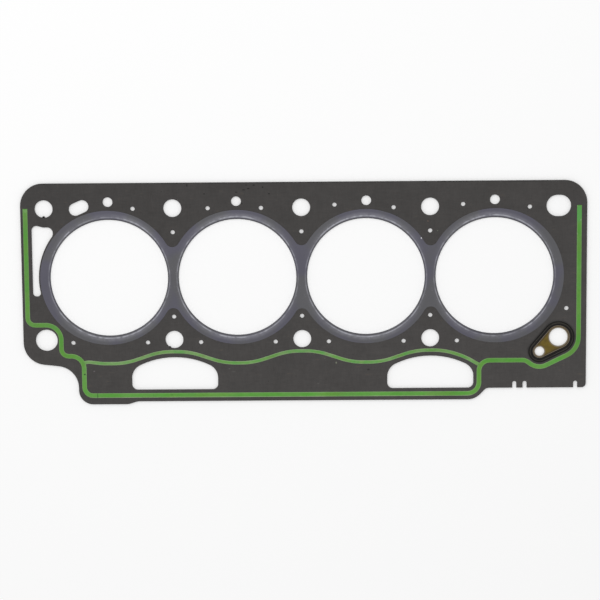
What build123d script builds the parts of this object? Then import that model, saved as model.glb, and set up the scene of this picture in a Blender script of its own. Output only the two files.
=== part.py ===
from build123d import *
import math
import os

os.makedirs("parts", exist_ok=True)

# Cylinder bores, one row along X
bore_count = 4
bore_pitch = 89.0
bore_row_y = -2.4
bore_dia = 81.5

# Sheet thicknesses, from the lower face up
ring_sheet = 0.15
facing_thick = 0.60
core_thick = 0.30
bead_height = 0.15

# Fire ring, one thin eyelet folded through every bore
ring_outer_dia = 94.4
ring_end_shift = 0.85
ring_notch_radius = 4.9
fold_inner_radius = 0.45
fold_lip_width = 3.2
fold_join_width = 1.0
laminate_setback = 0.05

# Outer edge of the sheet, its reach along X from the end bore nearest to it
left_reach = 60.7
right_reach = 63.8
top_y = 63.9
right_bottom_y = -81.9
pan_bottom_y = -90.0
pan_foot_y = -92.0
pan_left_reach = 22.8
pan_right_top_back = 5.5
pan_right_low_back = 13.3
foot_start_back = 18.0
foot_end_back = 12.0
lobe_outer_y = -61.95
lobe_inner_y = -66.1
upper_corner_radius = 15.5
right_foot_radius = 3.0
pan_right_top_radius = 4.5
pan_right_low_radius = 12.0
foot_step_radius = 12.0
pan_left_radius = 10.0
lobe_inner_radius = 15.4
lobe_outer_radius = 15.6

# Locating notches in the lower right edge, from the last bore
notch_reaches = (14.05, 21.2, 56.45)
notch_width = 2.8
notch_top_y = -77.2

# Head bolt holes, in two rows in line with the bridges, and the two dowel holes
bolt_row_y = 46.2
bolt_dia = 12.4
dowel_dia = 15.2
dowel_slot_reach = 44.2
dowel_slot_width = 15.0
dowel_slot_length = 16.9

# Coolant and oil passages, along X from the bore that each belongs to
passage_dia = 6.8
passage_shifts = (-0.2, -0.45, 0.45, 0.2)
passage_y = 50.75
vent_dia = 3.0
bridge_vent_ys = (29.4, -30.0)
lower_vent_offset = 26.0
lower_vent_y = -48.2
upper_vents = (((17.0, 46.0),),
               ((-20.1, 46.0), (16.7, 46.0)),
               ((-21.5, 47.9), (19.3, 45.8)),
               ((-21.75, 47.7), (24.3, 45.55)))
side_vent_reach = 49.95
side_vent_y = -25.8
slant_slot_reach = 20.3
slant_slot_y = 46.8
slant_slot_width = 8.9
slant_slot_length = 14.1
slant_slot_angle = 24.0

# Half moon windows, under the two outer bridges
moon_half_width = 30.0
moon_land = 8.15
moon_height = 23.15
moon_arch_radius = 55.5
moon_upper_radius = 10.2
moon_lower_radius = 4.0

# Tall coolant window at the left end, its right side an arc about the first bore
side_window_ring_radius = 48.9
side_window_width = 4.35
side_window_bottom_drop = 12.8
side_window_lobe_width = 10.35
side_window_lobe_height = 5.717
side_window_step_rise = 1.1
side_window_step_from = 3.75
side_window_step_to = 3.6
side_window_corner_radius = 3.4
side_window_lobe_radius = 3.9
side_window_foot_radius = 2.4

# Oil passage insert, two holes in a drop shaped plate with a moulded seal
insert_reach = 44.5
insert_big_y = -46.1
insert_small_back = 13.0
insert_small_drop = 10.1
insert_big_hole_dia = 12.8
insert_small_hole_dia = 6.6
seal_outer_big = 11.2
seal_outer_small = 7.8
seal_width = 3.1
seal_body_height = 1.20
seal_rib_width = 1.10
seal_rib_inset = 0.15
seal_grip = 0.80
insert_plate_thick = 0.90

# Sealing bead, its route given by sharp corners and the radius at each
bead_width = 3.3
wave_width = 2.45
bead_left_inset = 3.3
bead_right_inset = 5.35
bead_top_y = 46.5
bead_left_bend_y = -35.4
bead_dowel_clear = 0.85
bead_shelf_y = -57.55
bead_pan_left_inset = 3.95
bead_pan_inset = 4.25
bead_pan_right_inset = 5.1
bead_dip_depth = 4.7
bead_left_radius = 5.0
bead_dowel_radius = 10.5
bead_pan_top_radius = 8.8
bead_pan_left_radius = 6.0
bead_pan_right_radius = 8.0
bead_shelf_start_radius = 7.5
bead_shelf_end_radius = 6.5
bead_insert_clear = 3.0
wave_high_y = -54.8
wave_low_y = -63.0
wave_flat = 10.0
wave_radius = 50.0
wave_left_drop = 3.75
wave_left_flat = 6.0
wave_right_back = 20.0
wave_right_rise = 5.55
wave_end_drop = 3.0
bead_crotch_radius = 0.6

# Heights that follow from the sheets
z_lower_facing = ring_sheet
z_core = z_lower_facing + facing_thick
z_upper_facing = z_core + core_thick
z_web = z_upper_facing + facing_thick
z_top = z_web + ring_sheet
z_middle = z_top / 2

bore_xs = [(i - (bore_count - 1) / 2) * bore_pitch for i in range(bore_count)]
first_bore_x = bore_xs[0]
last_bore_x = bore_xs[-1]
bridge_xs = [x + bore_pitch / 2 for x in bore_xs[:-1]]
end_bolt_x = first_bore_x - bore_pitch / 2
bore_radius = bore_dia / 2
laminate_bore_radius = bore_radius + ring_sheet + fold_inner_radius + laminate_setback

# Places along X that follow from the bores
left_x = first_bore_x - left_reach
right_x = last_bore_x + right_reach
pan_left_x = first_bore_x - pan_left_reach
pan_right_top_x = last_bore_x - pan_right_top_back
pan_right_low_x = last_bore_x - pan_right_low_back
insert_big_x = last_bore_x + insert_reach
insert_small_x = insert_big_x - insert_small_back
insert_small_y = insert_big_y - insert_small_drop


def unit(dx, dy):
    length = math.hypot(dx, dy)
    return dx / length, dy / length


def corner_arc(before, corner, after, radius):
    # Tangent points, centre and outward direction of a rounded corner
    ax, ay = unit(before[0] - corner[0], before[1] - corner[1])
    bx, by = unit(after[0] - corner[0], after[1] - corner[1])
    half = math.acos(max(-1.0, min(1.0, ax * bx + ay * by))) / 2
    reach = radius / math.tan(half)
    mx, my = unit(ax + bx, ay + by)
    centre = (corner[0] + mx * radius / math.sin(half), corner[1] + my * radius / math.sin(half))
    start = (corner[0] + ax * reach, corner[1] + ay * reach)
    end = (corner[0] + bx * reach, corner[1] + by * reach)
    return start, end, centre, (-mx, -my)


def chain_face(edges):
    return make_face(Wire(edges))


def rounded_polygon(corners):
    # Closed outline from sharp corners (x, y, radius)
    edges = []
    count = len(corners)
    arcs = [corner_arc(corners[i - 1], corners[i], corners[(i + 1) % count], corners[i][2])
            for i in range(count)]
    for i in range(count):
        start, end, centre, out = arcs[i]
        middle = (centre[0] + out[0] * corners[i][2], centre[1] + out[1] * corners[i][2])
        edges.append(ThreePointArc(start, middle, end))
        edges.append(Line(end, arcs[(i + 1) % count][0]))
    return chain_face(edges)


def widest_bend(path):
    # Largest radius that leaves room on every run for the bends at its two ends
    headings = [math.atan2(b[1] - a[1], b[0] - a[0]) for a, b in zip(path, path[1:])]
    needs = [0.0] + [math.tan(abs(b - a) / 2) for a, b in zip(headings, headings[1:])] + [0.0]
    lengths = [math.dist(a[:2], b[:2]) for a, b in zip(path, path[1:])]
    return min(length / (needs[i] + needs[i + 1]) for i, length in enumerate(lengths))


def strip(path, width):
    # Flat band of even width along an open path of (x, y, radius), square ends
    sides = ([], [])
    for k, side in enumerate((1, -1)):
        shift = side * width / 2
        dx, dy = unit(path[1][0] - path[0][0], path[1][1] - path[0][1])
        last = (path[0][0] - dy * shift, path[0][1] + dx * shift)
        for i in range(1, len(path) - 1):
            start, end, centre, out = corner_arc(path[i - 1], path[i], path[i + 1], path[i][2])
            ix, iy = unit(path[i][0] - path[i - 1][0], path[i][1] - path[i - 1][1])
            ox, oy = unit(path[i + 1][0] - path[i][0], path[i + 1][1] - path[i][1])
            turn = 1 if ix * oy - iy * ox > 0 else -1
            radius = path[i][2] - turn * shift
            first = (start[0] - iy * shift, start[1] + ix * shift)
            final = (end[0] - oy * shift, end[1] + ox * shift)
            middle = (centre[0] + out[0] * radius, centre[1] + out[1] * radius)
            if math.hypot(first[0] - last[0], first[1] - last[1]) > 1e-4:
                sides[k].append(Line(last, first))
            sides[k].append(ThreePointArc(first, middle, final))
            last = final
        ex, ey = unit(path[-1][0] - path[-2][0], path[-1][1] - path[-2][1])
        tip = (path[-1][0] - ey * shift, path[-1][1] + ex * shift)
        sides[k].append(Line(last, tip))
    ends = [Line(sides[0][0] @ 0, sides[1][0] @ 0), Line(sides[0][-1] @ 1, sides[1][-1] @ 1)]
    return chain_face(sides[0] + sides[1] + ends)


def drop(big, small):
    # Two circles of the insert joined by their common tangents
    dx, dy = insert_big_x - insert_small_x, insert_big_y - insert_small_y
    apart = math.hypot(dx, dy)
    along = math.atan2(dy, dx)
    spread = math.acos((small - big) / apart)

    def on(x, y, r, angle):
        return x + r * math.cos(angle), y + r * math.sin(angle)

    big_a = on(insert_big_x, insert_big_y, big, along - spread)
    big_b = on(insert_big_x, insert_big_y, big, along + spread)
    small_a = on(insert_small_x, insert_small_y, small, along - spread)
    small_b = on(insert_small_x, insert_small_y, small, along + spread)
    big_tip = on(insert_big_x, insert_big_y, big, along)
    small_tip = on(insert_small_x, insert_small_y, small, along + math.pi)
    return chain_face([Line(small_a, big_a), ThreePointArc(big_a, big_tip, big_b),
                       Line(big_b, small_b), ThreePointArc(small_b, small_tip, small_a)])


def disc_row(xs, y, radius, notch_radius):
    # Equal discs in a row, one outline, a rounded notch between neighbours
    notches = []
    for a, b in zip(xs, xs[1:]):
        half = (b - a) / 2
        rise = math.sqrt((radius + notch_radius) ** 2 - half ** 2)
        share = radius / (radius + notch_radius)
        notches.append(((a + half * share, rise * share), (a + half, rise - notch_radius),
                        (b - half * share, rise * share)))
    edges = []
    for side in (1, -1):
        placed = [[(px, y + side * py) for px, py in notch] for notch in notches]
        for start, middle, end in placed:
            edges.append(ThreePointArc(start, middle, end))
        for i in range(len(placed) - 1):
            edges.append(ThreePointArc(placed[i][2], (xs[i + 1], y + side * radius), placed[i + 1][0]))
    (ax, ay), _, _ = notches[0]
    _, _, (bx, by) = notches[-1]
    edges.append(ThreePointArc((ax, y + ay), (xs[0] - radius, y), (ax, y - ay)))
    edges.append(ThreePointArc((bx, y + by), (xs[-1] + radius, y), (bx, y - by)))
    return chain_face(edges)


def disc(x, y, dia):
    return Pos(x, y) * Circle(dia / 2)


def plate(face, z, thick):
    return Pos(0, 0, z) * extrude(face, thick, dir=(0, 0, 1))


# Outer edge of the sheet with its notches
sheet = rounded_polygon([
    (left_x, top_y, upper_corner_radius),
    (right_x, top_y, upper_corner_radius),
    (right_x, right_bottom_y, right_foot_radius),
    (pan_right_top_x, right_bottom_y, pan_right_top_radius),
    (pan_right_low_x, pan_bottom_y, pan_right_low_radius),
    (first_bore_x + foot_start_back, pan_bottom_y, foot_step_radius),
    (first_bore_x + foot_end_back, pan_foot_y, foot_step_radius),
    (pan_left_x, pan_foot_y, pan_left_radius),
    (pan_left_x, lobe_inner_y, lobe_inner_radius),
    (left_x, lobe_outer_y, lobe_outer_radius),
])
for reach in notch_reaches:
    x = last_bore_x + reach
    depth = notch_top_y - notch_width / 2 - right_bottom_y + notch_width
    sheet -= Pos(x, right_bottom_y - notch_width + depth / 2) * Rectangle(notch_width, depth)
    sheet -= disc(x, notch_top_y - notch_width / 2, notch_width)

# Round holes of the whole laminate
for x in bore_xs:
    sheet -= disc(x, bore_row_y, 2 * laminate_bore_radius)
for x, shift in zip(bore_xs, passage_shifts):
    sheet -= disc(x + shift, passage_y, passage_dia)
for x in bridge_xs:
    for y in (bolt_row_y, -bolt_row_y):
        sheet -= disc(x, y, bolt_dia)
    for y in bridge_vent_ys:
        sheet -= disc(x, y, vent_dia)
sheet -= disc(end_bolt_x, bolt_row_y, bolt_dia)
sheet -= disc(end_bolt_x, -bolt_row_y, dowel_dia)
lower_vents = [(x + side * lower_vent_offset, lower_vent_y) for x in bore_xs for side in (-1, 1)]
for x, y in lower_vents[:-1]:
    sheet -= disc(x, y, vent_dia)
for x, vents in zip(bore_xs, upper_vents):
    for shift, y in vents:
        sheet -= disc(x + shift, y, vent_dia)
sheet -= disc(last_bore_x + side_vent_reach, side_vent_y, vent_dia)

# Slots and windows of the whole laminate
sheet -= (Pos(last_bore_x + dowel_slot_reach, bolt_row_y)
          * SlotOverall(dowel_slot_length, dowel_slot_width))
sheet -= (Pos(first_bore_x - slant_slot_reach, slant_slot_y) * Rot(0, 0, slant_slot_angle)
          * SlotOverall(slant_slot_length, slant_slot_width))

moon_bottom_y = pan_bottom_y + moon_land
moon_crown_y = moon_bottom_y + moon_height
for x in (bridge_xs[0], bridge_xs[-1]):
    moon = Pos(x, moon_bottom_y + moon_height / 2) * Rectangle(2 * moon_half_width, moon_height)
    moon &= disc(x, moon_crown_y - moon_arch_radius, 2 * moon_arch_radius)
    by_height = moon.vertices().sort_by(Axis.Y)
    moon = fillet(by_height[:2], moon_lower_radius)
    upper = [v for v in moon.vertices() if abs(abs(v.X - x) - moon_half_width) < 0.01]
    moon = fillet(ShapeList(upper).sort_by(Axis.Y)[-2:], moon_upper_radius)
    sheet -= moon

side_window_x = first_bore_x - side_window_ring_radius - side_window_width
side_window_right_x = first_bore_x - side_window_ring_radius + side_window_lobe_width
side_window_bottom_y = bore_row_y - side_window_bottom_drop
lobe_reach = side_window_ring_radius - side_window_lobe_width
side_window_step_y = (bore_row_y + math.sqrt(side_window_ring_radius ** 2 - lobe_reach ** 2)
                      + side_window_lobe_height)
side_window_top_y = side_window_step_y + side_window_step_rise
step_from_x = side_window_x + side_window_step_from
step_to_x = first_bore_x - side_window_ring_radius + side_window_step_to
window = make_face(Polyline((side_window_x, side_window_bottom_y), (side_window_x, side_window_top_y),
                            (step_from_x, side_window_top_y), (step_to_x, side_window_step_y),
                            (side_window_right_x, side_window_step_y),
                            (side_window_right_x, side_window_bottom_y), close=True))
window -= disc(first_bore_x, bore_row_y, 2 * side_window_ring_radius)
window = window.faces().sort_by(Axis.X)[0]
lobe_radius = min(side_window_lobe_radius, 0.69 * side_window_lobe_height)
window_radii = ((side_window_x, side_window_top_y, side_window_corner_radius),
                (side_window_right_x, side_window_step_y, lobe_radius),
                (side_window_x, side_window_bottom_y, side_window_foot_radius))
for x, y, radius in window_radii:
    spot = [v for v in window.vertices() if math.hypot(v.X - x, v.Y - y) < 0.01]
    window = fillet(spot, radius)
foot = [v for v in window.vertices() if abs(v.Y - side_window_bottom_y) < 0.01]
window = fillet(ShapeList(foot).sort_by(Axis.X)[-1:], side_window_foot_radius)
bend = [v for v in window.vertices() if abs(v.X - side_window_right_x) < 0.01]
window = fillet(ShapeList(bend).sort_by(Axis.Y)[:1], lobe_radius)
sheet -= window

# Facings open round the seal, the steel core reaches into it
facing_face = sheet - drop(seal_outer_big, seal_outer_small)
core_face = sheet - drop(seal_outer_big - seal_grip, seal_outer_small - seal_grip)
facing_lower = plate(facing_face, z_lower_facing, facing_thick)
steel_core = plate(core_face, z_core, core_thick)
facing_upper = plate(facing_face, z_upper_facing, facing_thick)

# Fire ring, flat web on top
ring_xs = [first_bore_x - ring_end_shift] + bore_xs[1:-1] + [last_bore_x + ring_end_shift]
web = disc_row(ring_xs, bore_row_y, ring_outer_dia / 2, ring_notch_radius)
fold_outer_radius = fold_inner_radius + ring_sheet
for x in bore_xs:
    web -= disc(x, bore_row_y, 2 * (bore_radius + fold_outer_radius))
fire_ring = plate(web, z_web, ring_sheet)

# Fold through each bore, from the web round to the lower lip
near = bore_radius
deep = bore_radius + ring_sheet
bend_at = bore_radius + fold_outer_radius
lip_at = bore_radius + fold_lip_width
join_at = bend_at + fold_join_width
outer_drop = fold_outer_radius * (1 - math.sqrt(0.5))
inner_drop = ring_sheet + fold_inner_radius * (1 - math.sqrt(0.5))
section = make_face([
    Line((join_at, z_top), (bend_at, z_top)),
    ThreePointArc((bend_at, z_top), (near + outer_drop, z_top - outer_drop), (near, z_top - fold_outer_radius)),
    Line((near, z_top - fold_outer_radius), (near, fold_outer_radius)),
    ThreePointArc((near, fold_outer_radius), (near + outer_drop, outer_drop), (bend_at, 0)),
    Line((bend_at, 0), (lip_at, 0)),
    Line((lip_at, 0), (lip_at, ring_sheet)),
    Line((lip_at, ring_sheet), (bend_at, ring_sheet)),
    ThreePointArc((bend_at, ring_sheet), (near + inner_drop, inner_drop), (deep, fold_outer_radius)),
    Line((deep, fold_outer_radius), (deep, z_top - fold_outer_radius)),
    ThreePointArc((deep, z_top - fold_outer_radius), (near + inner_drop, z_top - inner_drop), (bend_at, z_web)),
    Line((bend_at, z_web), (join_at, z_web)),
    Line((join_at, z_web), (join_at, z_top)),
])
fold = revolve(Plane.XZ * section, Axis.Z)
for x in bore_xs:
    fire_ring += Pos(x, bore_row_y) * fold

# Sealing bead, the outer run down the left, along the pan and up the right
seal_run_big = seal_outer_big + bead_insert_clear
seal_run_small = seal_outer_small + bead_insert_clear
run_angle = math.atan2(insert_big_y - insert_small_y, insert_big_x - insert_small_x)
run_apart = math.hypot(insert_big_x - insert_small_x, insert_big_y - insert_small_y)
run_tilt = run_angle - math.asin((seal_run_big - seal_run_small) / run_apart)
run_slope = math.tan(run_tilt)
run_offset = seal_run_big / math.cos(run_tilt)
dip_y = insert_small_y - seal_run_small
bead_right_shelf_y = dip_y + bead_dip_depth
dip_x = insert_big_x + (dip_y + run_offset - insert_big_y) / run_slope
dip_left_angle = math.radians(38)
dip_left_x = insert_small_x - seal_run_small * math.tan(dip_left_angle / 2)
shelf_end_x = dip_left_x - (bead_right_shelf_y - dip_y) / math.tan(dip_left_angle)
bead_left_x = left_x + bead_left_inset
bead_right_x = right_x - bead_right_inset
bead_dowel_x = end_bolt_x + dowel_dia / 2 + bead_dowel_clear + bead_width / 2
bead_pan_left_x = pan_left_x + bead_pan_left_inset
bead_pan_right_x = pan_right_top_x - bead_pan_right_inset
bead_pan_y = pan_bottom_y + bead_pan_inset
run_right_y = insert_big_y + (bead_right_x - insert_big_x) * run_slope - run_offset
pan_top_radius = min(bead_pan_top_radius, 0.98 * (bead_pan_left_x - bead_dowel_x) - bead_left_radius)
outer_run = strip([
    (bead_left_x, bead_top_y),
    (bead_left_x, bead_left_bend_y, bead_left_radius),
    (bead_dowel_x, bead_left_bend_y, bead_dowel_radius),
    (bead_dowel_x, bead_shelf_y, bead_left_radius),
    (bead_pan_left_x, bead_shelf_y, pan_top_radius),
    (bead_pan_left_x, bead_pan_y, bead_pan_left_radius),
    (bead_pan_right_x, bead_pan_y, bead_pan_right_radius),
    (bead_pan_right_x, bead_right_shelf_y, bead_shelf_start_radius),
    (shelf_end_x, bead_right_shelf_y, bead_shelf_end_radius),
    (dip_left_x, dip_y, seal_run_small),
    (dip_x, dip_y, seal_run_small),
    (bead_right_x, run_right_y, seal_run_big),
    (bead_right_x, bead_top_y),
], bead_width)

# Waving run between the windows and the bores, it starts on the middle of the outer run's bend
wave_left_y = bead_shelf_y - wave_left_drop
bend_rise = max(0.0, pan_top_radius - wave_left_drop)
wave_left_x = bead_pan_left_x - pan_top_radius + math.sqrt(pan_top_radius ** 2 - bend_rise ** 2)
wave_end_y = bead_right_shelf_y - wave_end_drop
wave_right_y = wave_end_y + wave_right_rise
wave_corners = [(wave_left_x, wave_left_y), (bore_xs[0] - wave_left_flat, wave_low_y)]
for i in range(bore_count - 1):
    middle = (bore_xs[i] + bore_xs[i + 1]) / 2
    wave_corners.append((bore_xs[i] + wave_flat, wave_low_y))
    wave_corners.append((middle - wave_flat, wave_high_y))
    wave_corners.append((middle + wave_flat, wave_high_y))
    if i < bore_count - 2:
        wave_corners.append((bore_xs[i + 1] - wave_flat, wave_low_y))
wave_corners += [(last_bore_x - wave_right_back, wave_right_y), (bead_pan_right_x, wave_end_y)]
wave_bend = min(wave_radius, 0.98 * widest_bend(wave_corners))
wave_run = strip([(x, y, wave_bend) for x, y in wave_corners], wave_width)
bead_face = outer_run + wave_run
own = outer_run.vertices() + wave_run.vertices()
crotches = [v for v in bead_face.vertices() if min((v.center() - w.center()).length for w in own) > 0.01]
lower = [v.center() for v in crotches if v.Y < (wave_left_y if v.X < 0 else wave_end_y)]
for spot in lower:
    starts = [e for e in bead_face.edges() if (e @ 0 - spot).length < 1e-3]
    ends = [e for e in bead_face.edges() if (e @ 1 - spot).length < 1e-3]
    away = [e % 0 for e in starts] + [(e % 1) * -1 for e in ends]
    reach = min(e.length for e in starts + ends)
    room = 0.9 * reach * math.tan(math.radians(away[0].get_angle(away[1]) / 2))
    crotch = bead_face.vertices().sort_by_distance(spot)[0]
    bead_face = fillet([crotch], min(bead_crotch_radius, room))
bead_upper = plate(bead_face, z_web, bead_height)
bead_lower = plate(bead_face, z_lower_facing - bead_height, bead_height)

# Oil passage insert plate
seal_inner_big = seal_outer_big - seal_width
seal_inner_small = seal_outer_small - seal_width
plate_face = drop(seal_inner_big + seal_grip, seal_inner_small + seal_grip)
plate_face -= disc(insert_big_x, insert_big_y, insert_big_hole_dia)
plate_face -= disc(insert_small_x, insert_small_y, insert_small_hole_dia)
insert_plate = plate(plate_face, z_middle - insert_plate_thick / 2, insert_plate_thick)

# Moulded seal, body and two ribs a side, gripping the plate and the core


def seal_band(outer_inset, inner_inset, height):
    band = drop(seal_outer_big - outer_inset, seal_outer_small - outer_inset)
    band -= drop(seal_inner_big + inner_inset, seal_inner_small + inner_inset)
    return plate(band, z_middle - height / 2, height)


rib_far = seal_width - seal_rib_inset - seal_rib_width
insert_seal = seal_band(0, 0, seal_body_height)
insert_seal += seal_band(seal_rib_inset, rib_far, z_top)
insert_seal += seal_band(rib_far, seal_rib_inset, z_top)
insert_seal -= plate(drop(seal_inner_big + seal_grip, seal_inner_small + seal_grip),
                     z_middle - insert_plate_thick / 2, insert_plate_thick)
core_grip = drop(seal_outer_big + seal_grip, seal_outer_small + seal_grip)
core_grip -= drop(seal_outer_big - seal_grip, seal_outer_small - seal_grip)
insert_seal -= plate(core_grip, z_core, core_thick)

nodes = {
    "facing_upper": facing_upper,
    "facing_lower": facing_lower,
    "steel_core": steel_core,
    "fire_ring": fire_ring,
    "bead_upper": bead_upper,
    "bead_lower": bead_lower,
    "insert_plate": insert_plate,
    "insert_seal": insert_seal,
}
for name, shape in nodes.items():
    export_step(shape, f"parts/{name}.step")
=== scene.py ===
import math

import bmesh
import bpy
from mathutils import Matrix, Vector, noise


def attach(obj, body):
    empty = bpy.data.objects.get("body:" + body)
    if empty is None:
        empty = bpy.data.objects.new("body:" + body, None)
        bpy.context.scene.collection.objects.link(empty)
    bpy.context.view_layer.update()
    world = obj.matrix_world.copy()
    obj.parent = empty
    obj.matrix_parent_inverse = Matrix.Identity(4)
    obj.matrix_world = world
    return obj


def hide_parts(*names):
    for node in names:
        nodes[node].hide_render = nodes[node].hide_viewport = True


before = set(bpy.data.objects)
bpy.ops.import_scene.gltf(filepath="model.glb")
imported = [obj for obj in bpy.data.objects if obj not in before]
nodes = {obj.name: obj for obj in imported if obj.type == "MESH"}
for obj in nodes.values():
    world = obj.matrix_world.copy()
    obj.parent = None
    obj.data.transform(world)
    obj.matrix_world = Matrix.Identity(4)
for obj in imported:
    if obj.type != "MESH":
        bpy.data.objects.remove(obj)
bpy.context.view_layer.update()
scene = bpy.context.scene
MM = 0.001

# Camera
# The sheet is seen from almost straight above, through a long lens from a point a little past
# its upper edge, and the picture is turned by half a degree.
camera_place = (0.0254, 0.3464, 2.0)
camera_turn = (-10.361, 0.673, -0.512)
camera_lens = 175.6
camera_sensor = 36.0
camera_near = 0.01
camera_far = 20.0

camera = bpy.data.objects.new("camera", bpy.data.cameras.new("camera"))
scene.collection.objects.link(camera)
camera.location = camera_place
camera.rotation_euler = [math.radians(turn) for turn in camera_turn]
camera.data.lens = camera_lens
camera.data.sensor_width = camera_sensor
camera.data.clip_start = camera_near
camera.data.clip_end = camera_far
scene.camera = camera
scene.view_settings.view_transform = "Standard"

# Floor and light
# A white sheet under the part, open sky light from all round and one large soft lamp over it.
# Small holes look greyer than large ones, because less light reaches the white sheet in them.
floor_drop = 0.05 * MM
floor_reach = 3.0
floor_colour = (0.955, 0.955, 0.955)
floor_glow = 0.26
pure_white = (1, 1, 1, 1)
sky_strength = 0.74
lamp_place = (-0.35, 0.75, 1.6)
lamp_size = 1.3
lamp_power = 10.6


def add(tree, kind, inputs=None, **settings):
    # Puts in one shader node, with its settings and with values or links for its inputs
    item = tree.nodes.new(kind)
    for key, value in settings.items():
        setattr(item, key, value)
    for key, value in (inputs or {}).items():
        if isinstance(value, bpy.types.NodeSocket):
            tree.links.new(value, item.inputs[key])
        else:
            item.inputs[key].default_value = value
    return item


def calc(tree, operation, *values, clamp=False):
    item = add(tree, "ShaderNodeMath", dict(enumerate(values)), operation=operation, use_clamp=clamp)
    return item.outputs[0]


def seen_directly(tree):
    # 1 for what the eye, a reflection or glass shows, 0 for the light that falls on surfaces
    path = add(tree, "ShaderNodeLightPath")
    shown = calc(tree, "ADD", path.outputs["Is Camera Ray"], path.outputs["Is Glossy Ray"], clamp=True)
    return calc(tree, "ADD", shown, path.outputs["Is Transmission Ray"], clamp=True)


mesh = bmesh.new()
bmesh.ops.create_grid(mesh, x_segments=1, y_segments=1, size=floor_reach)
bmesh.ops.translate(mesh, vec=(0, 0, -floor_drop), verts=mesh.verts)
floor = bpy.data.objects.new("floor", bpy.data.meshes.new("floor"))
mesh.to_mesh(floor.data)
mesh.free()
scene.collection.objects.link(floor)
material = bpy.data.materials.new("white_floor")
material.use_nodes = True
tree = material.node_tree
tree.nodes.clear()
matt = add(tree, "ShaderNodeBsdfDiffuse", {"Color": (*floor_colour, 1)})
glow = add(tree, "ShaderNodeEmission", {"Color": pure_white, "Strength": 1.0})
share = calc(tree, "MULTIPLY", seen_directly(tree), floor_glow)
mixed = add(tree, "ShaderNodeMixShader", {0: share, 1: matt.outputs[0], 2: glow.outputs[0]})
add(tree, "ShaderNodeOutputMaterial", {"Surface": mixed.outputs[0]})
floor.data.materials.append(material)

scene.world = bpy.data.worlds.new("sky")
scene.world.use_nodes = True
tree = scene.world.node_tree
tree.nodes.clear()
strength = calc(tree, "MULTIPLY_ADD", seen_directly(tree), 1 - sky_strength, sky_strength)
sky = add(tree, "ShaderNodeBackground", {"Color": pure_white, "Strength": strength})
add(tree, "ShaderNodeOutputWorld", {"Surface": sky.outputs[0]})

lamp = bpy.data.objects.new("lamp", bpy.data.lights.new("lamp", "AREA"))
scene.collection.objects.link(lamp)
lamp.data.shape = "DISK"
lamp.data.size = lamp_size
lamp.data.energy = lamp_power
lamp.location = lamp_place
lamp.rotation_euler = (-Vector(lamp_place)).to_track_quat("-Z", "Y").to_euler()

# Facings
# Two soft sheets of fibre and graphite, rolled onto the core and punched with it. Dark grey and dead
# matt, with a fine fibrous grain, cloudy patches, stray brown fibres and a few scuffs and specks.
facing_grey = (0.0510, 0.0479, 0.0463)
facing_dark = (0.0255, 0.0240, 0.0230)
facing_brown = (0.092, 0.068, 0.049)
facing_roughness = 0.82
facing_shine = 0.25
facing_relief = (0.35, 0.04)

# Painted light and shade down and across the sheet, darker towards the top and left, as two places and the
# tone at each
facing_down = (50.0, -80.0, 0.96, 1.08)
facing_across = (-190.0, 190.0, 0.98, 1.04)

# Fibre grain, pits, the painted shade round the seal and the painted shadow along the upper edge
weave_tone = (0.26, 0.61)
cloud_share = 0.30
patch_share = 0.22
along_x = (0.25, 1.0, 1.0)
along_y = (1.0, 0.25, 1.0)
fibre_share = 0.4
pit_share = 0.6
seal_shade_reach = (1.5, 0.1)
seal_shade_share = 0.7
upper_shadow_band = (62.7, 63.6)
upper_shadow_share = 0.7

# Specks and scuffs, each with its place, half width, half height and colour
scuff_dark = (0.0150, 0.0145, 0.0135)
speck_grey = (0.115, 0.104, 0.109)
speck_rust = (0.120, 0.085, 0.072)
speck_moss = (0.105, 0.116, 0.088)
speck_chalk = (0.175, 0.185, 0.140)
speck_pale = (0.085, 0.082, 0.078)
speck_share = 0.9
spot_ragged = 0.8
spot_border = (1.1, 0.6)
flattened = (1, 1, 0)
facing_specks = (
    (-145.4, -68.4, 0.70, 0.60, speck_grey),
    (-51.0, -67.2, 0.80, 0.50, speck_pale),
    (-48.1, -69.3, 1.60, 0.30, speck_pale),
    (10.8, -78.2, 1.00, 0.40, speck_pale),
    (26.0, -89.3, 0.80, 0.40, speck_pale),
    (45.9, -68.3, 1.20, 0.70, facing_dark),
    (23.5, -63.3, 0.60, 0.80, speck_chalk),
    (15.6, -60.1, 0.60, 0.45, speck_pale),
    (87.5, 36.1, 0.55, 0.50, speck_rust),
    (94.2, 29.4, 0.45, 0.50, speck_moss),
    (-37.8, 62.0, 0.60, 0.45, scuff_dark),
    (-36.4, 59.6, 1.10, 0.55, scuff_dark),
    (-39.6, 58.7, 1.30, 0.40, scuff_dark),
    (-32.6, 61.9, 0.90, 0.60, scuff_dark),
    (-26.5, 60.5, 0.65, 0.60, scuff_dark),
    (-22.1, 55.9, 0.75, 0.60, scuff_dark),
    (-44.6, 57.1, 0.90, 0.45, scuff_dark),
    (-66.9, 56.1, 0.65, 0.50, scuff_dark),
    (-40.9, 49.1, 0.55, 0.65, scuff_dark),
    (-78.7, 62.1, 0.50, 1.00, scuff_dark),
    (-16.9, 63.5, 0.60, 0.50, scuff_dark),
    (-92.4, -52.1, 0.60, 0.45, scuff_dark),
)

# The two round ends of the oil passage seal's outline, each as its middle and radius
seal_big = (178.0, -46.1)
seal_small = (165.0, -56.2)
seal_big_radius = 11.2
seal_small_radius = 7.8


def new_material(name):
    material = bpy.data.materials.new(name)
    material.use_nodes = True
    return material, material.node_tree, material.node_tree.nodes["Principled BSDF"]


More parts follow.
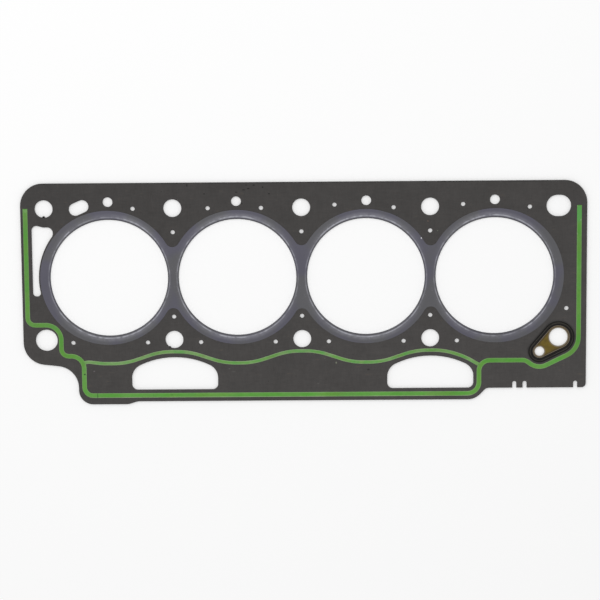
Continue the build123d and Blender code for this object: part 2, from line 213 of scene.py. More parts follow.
def new_group(name, inputs, outputs):
    # A shader node group with its sockets, as the group, its input node and its output node
    group = bpy.data.node_groups.new(name, "ShaderNodeTree")
    for label, kind in inputs.items():
        group.interface.new_socket(label, in_out="INPUT", socket_type=kind)
    for label in outputs:
        group.interface.new_socket(label, in_out="OUTPUT", socket_type="NodeSocketFloat")
    return group, group.nodes.new("NodeGroupInput"), group.nodes.new("NodeGroupOutput")


def blend(tree, factor, a, b):
    item = add(tree, "ShaderNodeMix", data_type="RGBA")
    for index, value in ((0, factor), (6, a), (7, b)):
        if isinstance(value, bpy.types.NodeSocket):
            tree.links.new(value, item.inputs[index])
        else:
            item.inputs[index].default_value = value if index == 0 else (*value, 1)
    return item.outputs[2]


def toned(tree, colour, tone):
    return add(tree, "ShaderNodeVectorMath", {0: colour, "Scale": tone}, operation="SCALE").outputs[0]


def vector_calc(tree, operation, *values):
    item = add(tree, "ShaderNodeVectorMath", dict(enumerate(values)), operation=operation)
    return item.outputs["Value" if operation in ("LENGTH", "DISTANCE", "DOT_PRODUCT") else "Vector"]


def product(tree, first, *others):
    for other in others:
        first = calc(tree, "MULTIPLY", first, other)
    return first


def distance(tree, x, y):
    return calc(tree, "SQRT", calc(tree, "ADD", product(tree, x, x), product(tree, y, y)))


def flat_place(x, y):
    # A place on the sheet that is given in millimetres
    return (x * MM, y * MM, 0)


def surface_place(tree, stretch=None):
    place = add(tree, "ShaderNodeTexCoord").outputs["Object"]
    return vector_calc(tree, "MULTIPLY", place, stretch) if stretch else place


def surface_axes(tree):
    return add(tree, "ShaderNodeSeparateXYZ", {0: surface_place(tree)}).outputs


def cloud(tree, scale, detail=2.0, roughness=0.5, stretch=None):
    return add(tree, "ShaderNodeTexNoise", {"Vector": surface_place(tree, stretch), "Scale": scale,
                                            "Detail": detail, "Roughness": roughness}).outputs["Fac"]


def ramp(tree, value, low, high, out_low=0.0, out_high=1.0):
    # A soft step, out_low where the value is low and out_high where it is high
    item = add(tree, "ShaderNodeMapRange", {0: value, 1: low, 2: high, 3: out_low, 4: out_high},
               interpolation_type="SMOOTHSTEP")
    return item.outputs[0]


def ramp_mm(tree, value, low, high, out_low=0.0, out_high=1.0):
    # The same between two places or heights in millimetres
    return ramp(tree, value, low * MM, high * MM, out_low, out_high)


def relief(tree, shader, height, strength, depth):
    # Fine bumps on the surface, their depth in millimetres
    bump = add(tree, "ShaderNodeBump", {"Height": height, "Strength": strength, "Distance": depth * MM})
    tree.links.new(bump.outputs["Normal"], shader.inputs["Normal"])


# Ragged oval spot at a place on the sheet
spot_inputs = {"At": "NodeSocketVector", "Size": "NodeSocketVector"}
spot_group, inside, outside = new_group("spot", spot_inputs, ("Mask",))
away = vector_calc(spot_group, "SUBTRACT", surface_place(spot_group, flattened), inside.outputs["At"])
away = vector_calc(spot_group, "DIVIDE", away, inside.outputs["Size"])
away = vector_calc(spot_group, "LENGTH", away)
ragged = calc(spot_group, "MULTIPLY_ADD", cloud(spot_group, 1800.0), spot_ragged, -spot_ragged / 2)
mask = ramp(spot_group, calc(spot_group, "ADD", away, ragged), *spot_border)
spot_group.links.new(mask, outside.inputs["Mask"])


def spot_mask(tree, x, y, wide, tall):
    inputs = {"At": flat_place(x, y), "Size": (wide * MM, tall * MM, 1)}
    return add(tree, "ShaderNodeGroup", inputs, node_tree=spot_group).outputs["Mask"]


# Distance from the outline of the oil passage seal, less than nothing inside it
axis = Vector(seal_small) - Vector(seal_big)
straight = axis.normalized()
taper = (seal_big_radius - seal_small_radius) / axis.length
lean = math.sqrt(1 - taper * taper)
seal_group, inside, outside = new_group("seal_outline", {}, ("Distance",))
away = vector_calc(seal_group, "SUBTRACT", surface_place(seal_group), flat_place(*seal_big))
along = vector_calc(seal_group, "DOT_PRODUCT", away, (*straight, 0))
beside = vector_calc(seal_group, "DOT_PRODUCT", away, (-straight.y, straight.x, 0))
beside = calc(seal_group, "ABSOLUTE", beside)
reach = calc(seal_group, "MULTIPLY_ADD", beside, -taper / lean, along)
reach = calc(seal_group, "MINIMUM", calc(seal_group, "MAXIMUM", reach, 0.0), axis.length * MM)
gap = distance(seal_group, calc(seal_group, "SUBTRACT", along, reach), beside)
gap = calc(seal_group, "ADD", gap, calc(seal_group, "MULTIPLY_ADD", reach, taper, -seal_big_radius * MM))
seal_group.links.new(gap, outside.inputs["Distance"])

# Fibre grain, cloudy patches and stray fibres of a pressed sheet
fibre_group, inside, outside = new_group("pressed_fibre", {}, ("Tone", "Fibres", "Height"))
fine = cloud(fibre_group, 1500.0, 3.0, 0.65)
long_x = cloud(fibre_group, 900.0, stretch=along_x)
long_y = cloud(fibre_group, 900.0, stretch=along_y)
patch = cloud(fibre_group, 120.0)
weave = calc(fibre_group, "ADD", calc(fibre_group, "ADD", fine, long_x), long_y)
tone = calc(fibre_group, "MULTIPLY_ADD", weave, *weave_tone)
for mask, share in ((cloud(fibre_group, 22.0, 3.0, 0.55), cloud_share), (patch, patch_share)):
    tone = calc(fibre_group, "MULTIPLY_ADD", mask, share, calc(fibre_group, "SUBTRACT", tone, share / 2))
fibre_group.links.new(tone, outside.inputs["Tone"])
stray = product(fibre_group, ramp(fibre_group, long_x, 0.66, 0.74), ramp(fibre_group, patch, 0.50, 0.62))
fibre_group.links.new(stray, outside.inputs["Fibres"])
fibre_group.links.new(weave, outside.inputs["Height"])


def facing_material(name, specks):
    material, tree, shader = new_material(name)
    fibre = add(tree, "ShaderNodeGroup", node_tree=fibre_group).outputs
    axes = surface_axes(tree)
    # Painted light and shade: the sheet darker towards the top and left
    down = ramp_mm(tree, axes["Y"], *facing_down)
    across = ramp_mm(tree, axes["X"], *facing_across)
    colour = toned(tree, facing_grey, product(tree, down, across, fibre["Tone"]))
    pits = ramp(tree, cloud(tree, 700.0), 0.31, 0.22)
    gap = add(tree, "ShaderNodeGroup", node_tree=seal_group).outputs["Distance"]
    # Painted shade on the facing next to the raised seal
    seal_shade = ramp_mm(tree, gap, *seal_shade_reach, 0.0, seal_shade_share)
    # Painted shadow in a band along the upper edge of the sheet
    upper_shadow = product(tree, ramp_mm(tree, axes["Y"], *upper_shadow_band), ramp(tree, cloud(tree, 90.0), 0.35, 0.6))
    layers = (
        (product(tree, fibre["Fibres"], fibre_share), facing_brown),
        (product(tree, pits, pit_share), facing_dark),
        (seal_shade, facing_dark),
        (product(tree, upper_shadow, upper_shadow_share), facing_dark),
    )
    for mask, tint in layers:
        colour = blend(tree, mask, colour, tint)
    for *oval, tint in specks:
        colour = blend(tree, product(tree, spot_mask(tree, *oval), speck_share), colour, tint)
    tree.links.new(colour, shader.inputs["Base Color"])
    shader.inputs["Roughness"].default_value = facing_roughness
    shader.inputs["Specular IOR Level"].default_value = facing_shine
    relief(tree, shader, fibre["Height"], *facing_relief)
    return material


def paint(node, material):
    mesh = nodes[node].data
    mesh.materials.clear()
    mesh.materials.append(material)


paint("facing_upper", facing_material("facing_upper", facing_specks))
paint("facing_lower", facing_material("facing_lower", ()))

# Steel core
# Thin bare sheet steel between the facings, seen only as a bright line where the edge and the
# holes were punched, with fine upright shear marks.
core_colour = (0.33, 0.33, 0.34)
core_metal = 1.0
shear_upright = (1.0, 1.0, 0.05)

material, tree, shader = new_material("core_steel")
shear = cloud(tree, 2500.0, stretch=shear_upright)
tree.links.new(toned(tree, core_colour, ramp(tree, shear, 0.2, 0.8, 0.7, 1.3)), shader.inputs["Base Color"])
tree.links.new(ramp(tree, shear, 0.3, 0.7, 0.28, 0.50), shader.inputs["Roughness"])
shader.inputs["Metallic"].default_value = core_metal
paint("steel_core", material)

# Fire ring
# One thin steel stamping, a flat web round all four bores with its inner edge folded down through
# each. Satin blue grey, with a painted highlight in a broken band beside the fold, most of all above and
# below each bore, painted shade on the rounded edge and a bare wall.
ring_blue = (0.0875, 0.0850, 0.1075)
ring_grey = (0.0910, 0.0905, 0.0970)
ring_highlight = (0.300, 0.301, 0.335)
ring_fleck = (0.300, 0.300, 0.315)
ring_fold_shade = (0.045, 0.044, 0.050)
ring_bare = (0.62, 0.62, 0.64)
ring_metal = 0.8
ring_relief = (0.12, 0.02)
bore_pitch = 89.0
bore_row_y = -2.4
last_bore = 3
patch_shift = 2.7

# The band of painted highlight round a bore, by the distance from the bore's middle
band_inner = (41.40, 41.85)
band_end = 42.70
band_outer = 42.05
band_rise = 0.30
band_pull = 0.5
band_wander = 0.3
band_strength = (0.55, 0.25)
tail_reach = (45.5, 42.4)
tail_share = 0.30
fleck_reach = (46.0, 42.0)
fleck_share = 0.8

# The painted shade on the fold by distance and height, and the bare wall under it by height
fold_radius = (41.95, 41.45)
fold_share = 0.8
fold_height = (1.79, 1.62)
wall_height = (1.30, 1.05)

# Bare chips, and stretches where the painted highlight is weaker, as place, half width and half height
ring_chips = ((82.9, 24.2, 0.40, 0.55),)
ring_weak_highlight = ((131.0, -45.0, 38.0, 9.0), (-146.0, 37.5, 26.0, 9.0))
weak_highlight_share = 0.55

# Distance from the middle of the nearest bore, how far above or below it, and patches round it
radius_group, inside, outside = new_group("bore_radius", {}, ("Radius", "Upright", "Patches"))
axes = surface_axes(radius_group)
turns = calc(radius_group, "MULTIPLY_ADD", axes["X"], 1 / (bore_pitch * MM), (last_bore + 1) / 2)
number = calc(radius_group, "MAXIMUM", calc(radius_group, "FLOOR", turns), 0.0)
number = calc(radius_group, "MINIMUM", number, last_bore)
dx = calc(radius_group, "SUBTRACT", calc(radius_group, "SUBTRACT", turns, number), 0.5)
dx = product(radius_group, dx, bore_pitch * MM)
dy = calc(radius_group, "SUBTRACT", axes["Y"], bore_row_y * MM)
reach = distance(radius_group, dx, dy)
upright = calc(radius_group, "DIVIDE", calc(radius_group, "ABSOLUTE", dy), reach)
heading = add(radius_group, "ShaderNodeCombineXYZ", {"X": calc(radius_group, "DIVIDE", dx, reach),
                                                     "Y": calc(radius_group, "DIVIDE", dy, reach),
                                                     "Z": product(radius_group, number, patch_shift)})
patches = add(radius_group, "ShaderNodeTexNoise", {"Vector": heading.outputs[0], "Scale": 7.0, "Detail": 2.0})
radius_group.links.new(reach, outside.inputs["Radius"])
radius_group.links.new(upright, outside.inputs["Upright"])
radius_group.links.new(patches.outputs["Fac"], outside.inputs["Patches"])

material, tree, shader = new_material("fire_ring")
bore = add(tree, "ShaderNodeGroup", node_tree=radius_group).outputs
upright = bore["Upright"]
lift = product(tree, upright, upright)
wander = calc(tree, "MULTIPLY_ADD", cloud(tree, 60.0), band_wander * MM, -band_wander / 2 * MM)
radius = calc(tree, "MULTIPLY_ADD", lift, -band_pull * MM, calc(tree, "ADD", bore["Radius"], wander))
broad = cloud(tree, 30.0)
ring_grain = cloud(tree, 420.0, 3.0, 0.6)
fade = calc(tree, "MULTIPLY_ADD", lift, band_rise * MM, band_end * MM)
# Painted highlight in a broken band beside the fold, strongest above and below each bore
band = product(tree, ramp_mm(tree, radius, *band_inner), ramp(tree, radius, fade, band_outer * MM),
               calc(tree, "MULTIPLY_ADD", upright, *band_strength),
               ramp(tree, bore["Patches"], 0.35, 0.65, 0.50, 1.50))
tail = product(tree, lift, ramp_mm(tree, radius, *tail_reach, 0.0, tail_share))
painted_highlight = product(tree, calc(tree, "MAXIMUM", band, tail), ramp(tree, ring_grain, 0.2, 0.8, 0.60, 1.40))
for oval in ring_weak_highlight:
    highlight_kept = calc(tree, "MULTIPLY_ADD", spot_mask(tree, *oval), -weak_highlight_share, 1.0)
    painted_highlight = calc(tree, "MULTIPLY", painted_highlight, highlight_kept, clamp=True)
colour = blend(tree, ramp(tree, broad, 0.42, 0.58), ring_blue, ring_grey)
colour = blend(tree, painted_highlight, colour, ring_highlight)
scratch = ramp(tree, cloud(tree, 1300.0, 2.0, 0.6), 0.66, 0.74)
flecks = product(tree, scratch, ramp_mm(tree, radius, *fleck_reach), ramp(tree, broad, 0.46, 0.58))
colour = blend(tree, product(tree, flecks, fleck_share), colour, ring_fleck)
for oval in ring_chips:
    colour = blend(tree, spot_mask(tree, *oval), colour, ring_bare)
height = surface_axes(tree)["Z"]
# Painted shade on the rounded edge of the fold, strongest above and below each bore
fold = product(tree, lift, ramp_mm(tree, bore["Radius"], *fold_radius, 0.0, fold_share))
fold = calc(tree, "MAXIMUM", fold, ramp_mm(tree, height, *fold_height))
colour = blend(tree, fold, colour, ring_fold_shade)
colour = blend(tree, ramp_mm(tree, height, *wall_height), colour, ring_bare)
haze = ramp(tree, cloud(tree, 45.0, 3.0, 0.6), 0.25, 0.75, 0.97, 1.03)
tree.links.new(toned(tree, colour, haze), shader.inputs["Base Color"])
tree.links.new(ramp(tree, ring_grain, 0.2, 0.8, 0.38, 0.52), shader.inputs["Roughness"])
shader.inputs["Metallic"].default_value = ring_metal
relief(tree, shader, cloud(tree, 3000.0), *ring_relief)
paint("fire_ring", material)

# Sealing beads
# Screen printed silicone, bright green, one on each face: a low flat band of slightly uneven width with
# a painted highlight along its rounded borders. The long run follows the edge, and the waving run between
# the windows meets it at both ends and is narrower, thinner and paler. The upper bead has a pinhole, a nick
# and scuffs.
bead_green = (0.0730, 0.2810, 0.0270)
bead_olive = (0.0920, 0.2700, 0.0290)
bead_cool = (0.0700, 0.3000, 0.0600)
bead_pale = (0.1450, 0.2950, 0.0850)
bead_worn = (0.1400, 0.2200, 0.0700)
bead_pit = (0.010, 0.050, 0.010)
bead_thin = (0.185, 0.325, 0.120)
bead_cream = (0.300, 0.360, 0.230)
bead_shine = 0.35
bead_relief = (0.15, 0.03)
trail_least = 0.85
wave_highlight_share = 0.35

# Tone down the sheet, the painted highlight on the border by its height over the sheet's middle, and the
# palest stretch
bead_down = (-45.0, -80.0, 0.90, 1.02)
sheet_middle = 0.9
border_height = (0.8915, 0.880)
lowest_run = (-86.2, -86.8)

# Where the paler waving run starts, ends and stops below, and how much lower its top lies
wave_start = (-153.0, -149.0)
wave_end = (121.0, 118.0)
wave_under = (-76.0, -70.0)
wave_lower = 0.0075

# Sizes of both runs
bead_height = 0.1499
bead_width = 3.3
wave_width = 2.45
wave_height = 0.14
wave_sink = 0.004
wave_bend = 50.0
wave_flat = 10.0
wave_left_flat = 6.0
wave_low = -63.0
wave_high = -54.8
first_bore = -133.5

# Half of the bead's section, as the share of its half width and the share of its height
bead_half = ((0.0, 0.97), (0.25, 0.985), (0.45, 1.0), (0.58, 0.985), (0.68, 0.93), (0.78, 0.84), (0.87, 0.70),
             (0.94, 0.48), (0.985, 0.22), (1.0, 0.0))
bead_section = tuple((-s, h) for s, h in bead_half[:0:-1]) + bead_half
bead_faces = (("bead_upper", 1, 1.65), ("bead_lower", -1, 0.15))

# Pinhole, nicks and scuffs, each with its place, half width, half height, colour and strength
bead_flaws = (
    (-152.0, -70.6, 0.72, 0.66, bead_pit, 1.0),
    (-143.3, -86.0, 0.34, 2.20, bead_pit, 0.8),
    (-140.5, -63.9, 3.40, 0.30, bead_cream, 0.5),
    (-147.0, -61.2, 3.00, 0.30, bead_cream, 0.45),
    (-104.2, -85.8, 0.30, 1.80, bead_pit, 0.25),
    (-91.5, -85.4, 0.80, 0.60, bead_pit, 0.25),
    (-190.6, 44.9, 1.60, 1.30, bead_pale, 0.7),
    (191.7, 40.5, 2.40, 7.00, bead_cool, 0.8),
    (193.0, 36.2, 0.40, 0.80, bead_cream, 0.5),
    (190.5, 26.4, 0.45, 0.60, bead_cream, 0.5),
    (-111.3, -58.0, 1.50, 0.50, bead_worn, 0.8),
    (-69.0, -58.0, 1.70, 0.60, bead_worn, 0.8),
    (-23.0, -59.3, 1.60, 0.60, bead_worn, 0.8),
    (17.0, -57.3, 1.80, 0.60, bead_worn, 0.8),
    (66.0, -59.0, 1.60, 0.60, bead_worn, 0.7),
)

# How the long run passes the insert, and how finely and unevenly both runs are printed
insert_clear = 3.0
dip_angle = math.radians(38)
dip_depth = 4.7
right_run = 191.95
run_step = 1.5
wobble = 0.05
wobble_long = 0.35
wobble_short = 1.3
wobble_height = 0.04
wobble_seed = 4
merge = 0.001
weld = 0.002


def carry(mesh, rim, steps, move=(0, 0), centre=(0, 0), angle=0.0):
    # Pulls a rim along in steps, straight or round a centre, and leaves its skin behind
    made = bmesh.ops.spin(mesh, geom=rim, cent=(*centre, 0), axis=(0, 0, 1), angle=angle, steps=steps,
                          dvec=(move[0] / steps, move[1] / steps, 0), use_merge=False, use_duplicate=False)
    return made["geom_last"]


def follow(mesh, rim, corners, step):
    # Takes the rim from the first corner to the last, with a bend of the given radius at each between
    place = Vector(corners[0][:2])
    for before, corner, after in zip(corners, corners[1:], corners[2:]):
        spot = Vector(corner[:2])
        radius = corner[2]
        back = (Vector(before[:2]) - spot).normalized()
        ahead = (Vector(after[:2]) - spot).normalized()
        half = back.angle(ahead) / 2
        run = spot + back * radius / math.tan(half) - place
        if run.length > step / 10:
            rim = carry(mesh, rim, max(1, round(run.length / step)), move=run)
        centre = spot + (back + ahead).normalized() * radius / math.sin(half)
        turn = math.copysign(math.pi - 2 * half, ahead.cross(back))
        rim = carry(mesh, rim, max(3, round(abs(turn) * radius / step)), centre=centre, angle=turn)
        place = spot + ahead * radius / math.tan(half)
    run = Vector(corners[-1][:2]) - place
    return carry(mesh, rim, max(1, round(run.length / step)), move=run)


def printed_run(corners, width, height, base, side):
    # One printed run as a closed mesh, side 1 up and -1 down from its base
    mesh = bmesh.new()
    start = Vector(corners[0][:2])
    ahead = (Vector(corners[1][:2]) - start).normalized()
    rim = []
    for s, h in bead_section:
        spot = start + Vector((-ahead.y, ahead.x)) * s * width / 2
        rim.append(mesh.verts.new((*spot, base + side * h * height)))
    rim += [mesh.edges.new((a, b)) for a, b in zip(rim, rim[1:] + rim[:1])]
    follow(mesh, rim, corners, run_step)
    bmesh.ops.remove_doubles(mesh, verts=mesh.verts, dist=merge)
    bmesh.ops.holes_fill(mesh, edges=[e for e in mesh.edges if e.is_boundary], sides=0)
    for vert in mesh.verts:
        waver = noise.noise_vector(vert.co * wobble_long) * wobble
        waver += noise.noise_vector(vert.co * wobble_short) * wobble / 3
        vert.co.x += waver.x
        vert.co.y += waver.y
        vert.co.z -= (vert.co.z - base) * abs(waver.z) / wobble * wobble_height
    return mesh


def make_piece(name, mesh, material, replaced, smooth=True):
    # Turns a mesh in millimetres into a piece of the part
    bmesh.ops.recalc_face_normals(mesh, faces=mesh.faces)
    bmesh.ops.scale(mesh, vec=(MM, MM, MM), verts=mesh.verts)
    for face in mesh.faces:
        face.smooth = smooth
    piece = bpy.data.objects.new(name, bpy.data.meshes.new(name))
    mesh.to_mesh(piece.data)
    mesh.free()
    piece.data.materials.append(material)
    scene.collection.objects.link(piece)
    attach(piece, "root")
    if replaced:
        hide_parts(replaced)
    return piece


def join(first, second):
    # The union of two closed meshes, as one mesh
    pair = []
    for mesh in (first, second):
        bmesh.ops.recalc_face_normals(mesh, faces=mesh.faces)
        item = bpy.data.objects.new("half", bpy.data.meshes.new("half"))
        mesh.to_mesh(item.data)
        mesh.free()
        scene.collection.objects.link(item)
        pair.append(item)
    union = pair[0].modifiers.new("union", "BOOLEAN")
    union.operation = "UNION"
    union.object = pair[1]
    union.solver = "EXACT"
    graph = bpy.context.evaluated_depsgraph_get()
    data = bpy.data.meshes.new_from_object(pair[0].evaluated_get(graph))
    both = bmesh.new()
    both.from_mesh(data)
    for item in pair:
        bpy.data.meshes.remove(item.data)
    bpy.data.meshes.remove(data)
    bmesh.ops.dissolve_degenerate(both, dist=weld, edges=both.edges)
    bmesh.ops.triangulate(both, faces=both.faces)
    return both


def bead_material(name, flaws):
    material, tree, shader = new_material(name)
    axes = surface_axes(tree)
    mottle = cloud(tree, 45.0, 3.0, 0.6)
    streak = cloud(tree, 500.0)
    thin = product(tree, ramp_mm(tree, axes["X"], *wave_start), ramp_mm(tree, axes["X"], *wave_end),
                   ramp_mm(tree, axes["Y"], *wave_under))
    above = calc(tree, "ABSOLUTE", calc(tree, "SUBTRACT", axes["Z"], sheet_middle * MM))
    above = calc(tree, "MULTIPLY_ADD", thin, wave_lower * MM, above)
    # Painted highlight along the rounded borders, by height over the sheet's middle
    border = ramp_mm(tree, above, *border_height)
    border_highlight = product(tree, border, ramp(tree, mottle, 0.35, 0.65, 0.65, 1.0))
    olive = ramp(tree, cloud(tree, 52.0, stretch=(1.0, 1.7, 1.0)), 0.42, 0.60)
    speckle = ramp(tree, cloud(tree, 1100.0, 2.0, 0.6), 0.60, 0.72)
    speckle = product(tree, speckle, ramp(tree, mottle, 0.45, 0.6, 0.05, 0.3))
    hue = ramp(tree, cloud(tree, 70.0), 0.40, 0.62, 0.0, 0.22)
    trail = ramp(tree, cloud(tree, 300.0, stretch=along_x), 0.42, 0.62, 0.15, 0.80)
    trail = product(tree, trail, calc(tree, "MULTIPLY_ADD", border, 1 - trail_least, trail_least))
    # Stronger, creamier painted highlight on the borders of the waving run
    wave_border_highlight = product(tree, thin, border, wave_highlight_share)
    cool = ramp(tree, cloud(tree, 190.0), 0.50, 0.64, 0.0, 0.4)
    low = product(tree, border, ramp_mm(tree, axes["Y"], *lowest_run),
                  ramp(tree, mottle, 0.35, 0.65, 0.30, 0.55))
    layers = (
        (border_highlight, bead_pale), (speckle, bead_pale), (hue, bead_pale), (product(tree, thin, trail), bead_thin),
        (wave_border_highlight, bead_cream), (product(tree, thin, cool), bead_cool), (low, bead_cream),
    )
    colour = blend(tree, olive, bead_green, bead_olive)
    for mask, tint in layers:
        colour = blend(tree, mask, colour, tint)
    tone = product(tree, ramp_mm(tree, axes["Y"], *bead_down), ramp(tree, mottle, 0.2, 0.8, 0.93, 1.07),
                   ramp(tree, streak, 0.2, 0.8, 0.94, 1.06))
    colour = toned(tree, colour, tone)
    for *oval, tint, depth in flaws:
        colour = blend(tree, product(tree, spot_mask(tree, *oval), depth), colour, tint)
    tree.links.new(colour, shader.inputs["Base Color"])
    tree.links.new(ramp(tree, streak, 0.2, 0.8, 0.42, 0.58), shader.inputs["Roughness"])
    shader.inputs["Specular IOR Level"].default_value = bead_shine
    relief(tree, shader, streak, *bead_relief)
    return material


run_big = seal_big_radius + insert_clear
run_small = seal_small_radius + insert_clear
back = Vector(seal_big) - Vector(seal_small)
tilt = math.atan2(back.y, back.x) - math.asin((run_big - run_small) / back.length)
slope = math.tan(tilt)
offset = run_big / math.cos(tilt)
dip_y = seal_small[1] - run_small
shelf_y = dip_y + dip_depth
dip_right = seal_big[0] + (dip_y + offset - seal_big[1]) / slope
dip_left = seal_small[0] - run_small * math.tan(dip_angle / 2)
rise_y = seal_big[1] + (right_run - seal_big[0]) * slope - offset

# Corners of both runs, with the radius of the bend at each
edge_route = (
    (-190.9, 46.5), (-190.9, -35.4, 5.0), (-167.9, -35.4, 10.5), (-167.9, -57.55, 5.0),
    (-152.35, -57.55, 8.8), (-152.35, -85.75, 6.0), (122.9, -85.75, 8.0), (122.9, shelf_y, 7.5),
    (dip_left - (shelf_y - dip_y) / math.tan(dip_angle), shelf_y, 6.5), (dip_left, dip_y, run_small),
    (dip_right, dip_y, run_small), (right_run, rise_y, run_big), (right_run, 46.5),
)
wave_route = [(-153.2, -62.6), (-149.3, -61.7, 8.0), (first_bore - wave_left_flat, wave_low, wave_bend)]
for number in range(last_bore):
    low = first_bore + bore_pitch * number
    middle = low + bore_pitch / 2
    wave_route += [(low + wave_flat, wave_low, wave_bend), (middle - wave_flat, wave_high, wave_bend),
                   (middle + wave_flat, wave_high, wave_bend)]
    if number < last_bore - 1:
        wave_route.append((low + bore_pitch - wave_flat, wave_low, wave_bend))
wave_route += [(113.5, shelf_y + 2.55, wave_bend), (122.9, shelf_y - 3.0)]

# The fixed seed gives both beads the same uneven borders in every run
noise.seed_set(wobble_seed)
for node, side, base in bead_faces:
    edge_run = printed_run(edge_route, bead_width, bead_height, base, side)
    wave_run = printed_run(wave_route, wave_width, wave_height, base - side * wave_sink, side)
    material = bead_material(node, bead_flaws if side > 0 else ())
    make_piece(node + "_print", join(edge_run, wave_run), material, node)

# Oil passage insert plate
# Drop shaped steel plate with two holes, olive brown from its passivation, paler where it is
# bare round both holes and along the rubber, and painted shade just inside that.
plate_brown = (0.1120, 0.0740, 0.0050)
plate_shade = (0.0420, 0.0265, 0.0085)
plate_rim = (0.205, 0.172, 0.135)
plate_metal = 0.5
insert_holes = ((*seal_big, 6.4), (*seal_small, 3.3))
seal_width = 3.1

# The painted shade and the pale line beside the seal and the rub round a hole, by the distance from their
# edges
plate_shade_reach = (2.0, 0.4)
plate_line = (0.45, 0.2)
plate_shade_share = 0.85
hole_rub = (1.05, 0.3)
rub_share = 0.8

material, tree, shader = new_material("insert_plate")
blotch = cloud(tree, 260.0, 3.0, 0.6)
colour = toned(tree, plate_brown, ramp(tree, blotch, 0.25, 0.75, 0.8, 1.2))
gap = add(tree, "ShaderNodeGroup", node_tree=seal_group).outputs["Distance"]
# Painted shade on the plate next to the raised seal
shade_by_seal = ramp_mm(tree, gap, *(-(seal_width + edge) for edge in plate_shade_reach), 0.0, plate_shade_share)
colour = blend(tree, shade_by_seal, colour, plate_shade)
place = surface_place(tree, flattened)
for x, y, hole in insert_holes:
    away = vector_calc(tree, "DISTANCE", place, flat_place(x, y))
    rim = ramp_mm(tree, away, *(hole + edge for edge in hole_rub), 0.0, rub_share)
    colour = blend(tree, rim, colour, plate_rim)
line = ramp_mm(tree, gap, *(-(seal_width + edge) for edge in plate_line), 0.0, rub_share)
colour = blend(tree, line, colour, plate_rim)
tree.links.new(colour, shader.inputs["Base Color"])
tree.links.new(ramp(tree, blotch, 0.3, 0.7, 0.36, 0.50), shader.inputs["Roughness"])
shader.inputs["Metallic"].default_value = plate_metal
paint("insert_plate", material)

# Moulded seal
# Black rubber round the insert, with a narrow outer lip and a broad inner lip on each face and a
# groove between them, gripping the plate on its inside and the core on its outside.
rubber_black = (0.0081, 0.0072, 0.0066)
rubber_grey = (0.050, 0.046, 0.039)
rubber_roughness = 0.6
rubber_shine = 0.12
rubber_relief = (0.2, 0.05)
groove_inner = (-1.75, -1.35)
groove_outer = (-0.75, -1.15)
big_steps = 60
small_steps = 40

# Half of the seal's section, as the distance in from its outline and the height over the sheet's middle
seal_face = (
    (3.10, 0.45), (3.10, 0.50), (3.05, 0.585), (2.97, 0.60), (2.90, 0.74), (2.76, 0.85), (2.56, 0.8945),
    (2.20, 0.8995), (1.84, 0.8945), (1.64, 0.85), (1.50, 0.74), (1.42, 0.62), (1.25, 0.575), (1.10, 0.62),
    (1.03, 0.74), (0.90, 0.85), (0.74, 0.8945), (0.56, 0.8995), (0.40, 0.8945), (0.24, 0.85), (0.12, 0.74),
    (0.05, 0.60), (0.00, 0.50), (0.00, 0.15),
)

material, tree, shader = new_material("seal_rubber")
bloom = cloud(tree, 300.0, 3.0, 0.6)
gap = add(tree, "ShaderNodeGroup", node_tree=seal_group).outputs["Distance"]
groove = product(tree, ramp_mm(tree, gap, *groove_inner), ramp_mm(tree, gap, *groove_outer),
                 ramp(tree, bloom, 0.3, 0.6, 0.5, 1.0))
colour = blend(tree, groove, rubber_black, rubber_grey)
tree.links.new(colour, shader.inputs["Base Color"])
shader.inputs["Roughness"].default_value = rubber_roughness
shader.inputs["Specular IOR Level"].default_value = rubber_shine
relief(tree, shader, bloom, *rubber_relief)

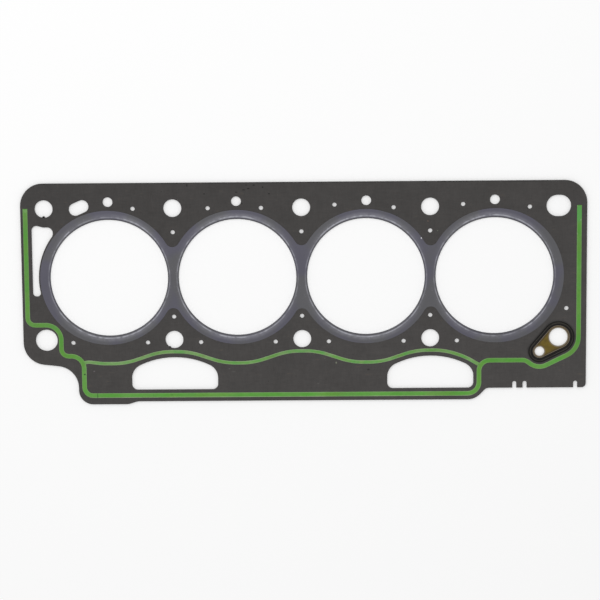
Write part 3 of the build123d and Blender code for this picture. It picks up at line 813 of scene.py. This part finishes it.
seal_outline = seal_face + tuple((t, -z) for t, z in seal_face[::-1])
line = math.atan2(-axis.y, -axis.x)
spread = math.pi / 2 + math.asin(taper)
mesh = bmesh.new()
start = Vector((math.cos(line - spread), math.sin(line - spread)))
rim = []
for inset, z in seal_outline:
    spot = Vector(seal_big) + start * (seal_big_radius - inset)
    rim.append(mesh.verts.new((*spot, sheet_middle + z)))
rim += [mesh.edges.new((a, b)) for a, b in zip(rim, rim[1:] + rim[:1])]
rim = carry(mesh, rim, big_steps, centre=seal_big, angle=2 * spread)
side = Vector((math.cos(line + spread), math.sin(line + spread)))
rim = carry(mesh, rim, 1, move=axis - side * (seal_big_radius - seal_small_radius))
rim = carry(mesh, rim, small_steps, centre=seal_small, angle=2 * (math.pi - spread))
carry(mesh, rim, 1, move=start * (seal_big_radius - seal_small_radius) - axis)
bmesh.ops.remove_doubles(mesh, verts=mesh.verts, dist=merge)
make_piece("insert_seal_moulded", mesh, material, "insert_seal")

# Burrs
# Two small dark tags of facing left by the punch on the lower edge of two bolt holes, each a thin
# torn flake that points into the hole.
burr_low = 1.2
burr_thick = 0.4
burr_overlap = 0.1
burr_wave = 0.1
burr_least = 0.8
burr_more = 0.4
burr_roughness = 0.9
burr_shine = 0.1

# Middle and radius of the hole, the way to the tag in degrees, and the tag's width and length
burr_places = ((-178.0, 46.2, 6.2, -92.0, 2.8, 1.35), (-89.0, -46.2, 6.2, -120.0, 1.8, 0.8))

material, tree, shader = new_material("torn_facing")
torn = cloud(tree, 1500.0, 3.0, 0.65)
tree.links.new(toned(tree, facing_dark, ramp(tree, torn, 0.3, 0.7, 0.2, 0.6)), shader.inputs["Base Color"])
shader.inputs["Roughness"].default_value = burr_roughness
shader.inputs["Specular IOR Level"].default_value = burr_shine
for number, (x, y, hole, degrees, wide, deep) in enumerate(burr_places, 1):
    mesh = bmesh.new()
    bmesh.ops.create_grid(mesh, x_segments=8, y_segments=3, size=1.0)
    for vert in mesh.verts:
        share = vert.co.x
        torn_away = burr_least + burr_more * noise.noise((share * 4, number, 0.5))
        inward = deep * (1 - share * share) * torn_away
        angle = math.radians(degrees) + share * wide / 2 / hole
        reach = hole + burr_overlap - (inward + burr_overlap) * (vert.co.y + 1) / 2
        z = burr_low + burr_wave * noise.noise((share * 3, reach, number))
        vert.co = (x + reach * math.cos(angle), y + reach * math.sin(angle), z)
    bmesh.ops.solidify(mesh, geom=mesh.faces, thickness=burr_thick)
    make_piece(f"hole_burr_{number}", mesh, material, "", smooth=False)
